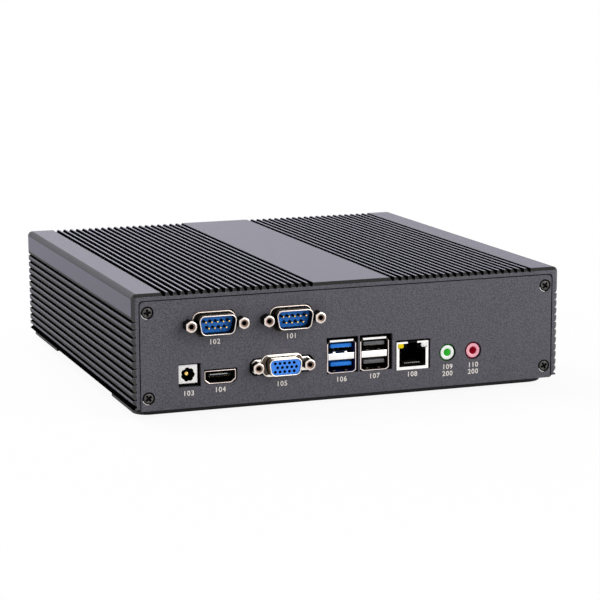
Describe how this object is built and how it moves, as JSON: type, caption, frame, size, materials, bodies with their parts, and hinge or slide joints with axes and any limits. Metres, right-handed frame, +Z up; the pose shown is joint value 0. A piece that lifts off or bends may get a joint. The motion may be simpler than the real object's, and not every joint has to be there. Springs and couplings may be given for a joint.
{
  "type": "fanless box computer",
  "caption": "Fanless box computer: finned metal hood on a flat base, screwed end panels, a panel of serial, video, data, network, audio and power sockets, and a sprung power button.",
  "frame": {"origin": "centre of the whole footprint, on the plane that the feet stand on", "axes": "+Z up; the port panel faces -Y and the button panel +Y; +X is right when facing the port panel"},
  "size_m": [0.2124, 0.2216, 0.0577],
  "materials": {
    "hood_metal": "satin",
    "base_metal": "satin",
    "panel_metal": "matte",
    "black_steel": "satin",
    "zinc_steel": "satin",
    "nickel_plate": "polished",
    "bright_metal": "satin",
    "bare_aluminium": "satin",
    "brass_posts": "satin",
    "gold_contact": "polished",
    "foot_rubber": "matte",
    "thermal_rubber": "matte",
    "circuit_board": "satin",
    "black_plastic": "matte",
    "grey_plastic": "matte",
    "cream_plastic": "matte",
    "ribbon_grey": "matte",
    "serial_blue_plastic": "matte",
    "video_blue_plastic": "matte",
    "data_blue_plastic": "matte",
    "green_plastic": "matte",
    "red_plastic": "matte",
    "amber_lens": "gloss",
    "clear_lens": "gloss",
    "green_lens": "gloss"
  },
  "bodies": {
    "chassis": {"analog_video_insert": "video_blue_plastic", "analog_video_jackscrews": "nickel_plate", "analog_video_shell": "nickel_plate", "audio_jack": "green_plastic", "base_plate": "base_metal", "base_screws": "black_steel", "board_screws": "zinc_steel", "board_standoffs": "brass_posts", "bracket_screws": "zinc_steel", "coin_cell": "bright_metal", "coin_cell_holder": "black_plastic", "data_ports_1_shell": "nickel_plate", "data_ports_1_tongues": "data_blue_plastic", "data_ports_2_shell": "nickel_plate", "data_ports_2_tongues": "black_plastic", "digital_video_shell": "nickel_plate", "digital_video_tongue": "grey_plastic", "drive_bracket": "zinc_steel", "drive_light": "amber_lens", "drive_screws": "zinc_steel", "front_panel": "panel_metal", "front_panel_screws": "black_steel", "heat_block": "bare_aluminium", "hood": "hood_metal", "mainboard": "circuit_board", "memory_module": "circuit_board", "memory_socket": "black_plastic", "mic_jack": "red_plastic", "network_contacts": "gold_contact", "network_insert": "black_plastic", "network_light_left": "amber_lens", "network_light_right": "clear_lens", "network_shell": "nickel_plate", "power_inlet_body": "cream_plastic", "power_inlet_pin": "gold_contact", "power_light": "green_lens", "power_switch": "black_plastic", "processor": "bright_metal", "rear_panel": "panel_metal", "rear_panel_screws": "black_steel", "rubber_feet": "foot_rubber", "serial_port_1_header": "black_plastic", "serial_port_1_insert": "serial_blue_plastic", "serial_port_1_jackscrews": "nickel_plate", "serial_port_1_pins": "gold_contact", "serial_port_1_ribbon": "ribbon_grey", "serial_port_1_shell": "nickel_plate", "serial_port_2_header": "black_plastic", "serial_port_2_insert": "serial_blue_plastic", "serial_port_2_jackscrews": "nickel_plate", "serial_port_2_pins": "gold_contact", "serial_port_2_ribbon": "ribbon_grey", "serial_port_2_shell": "nickel_plate", "storage_drive": "bare_aluminium", "thermal_pad": "thermal_rubber"},
    "power_button": {"power_button": "bright_metal"}
  },
  "joints": [
    {"name": "power_button_press", "type": "slide", "parent": "chassis", "child": "power_button", "axis": [0, -1, 0], "range_m": [0, 0.0015], "stiffness_N_per_m": 1000}
  ]
}
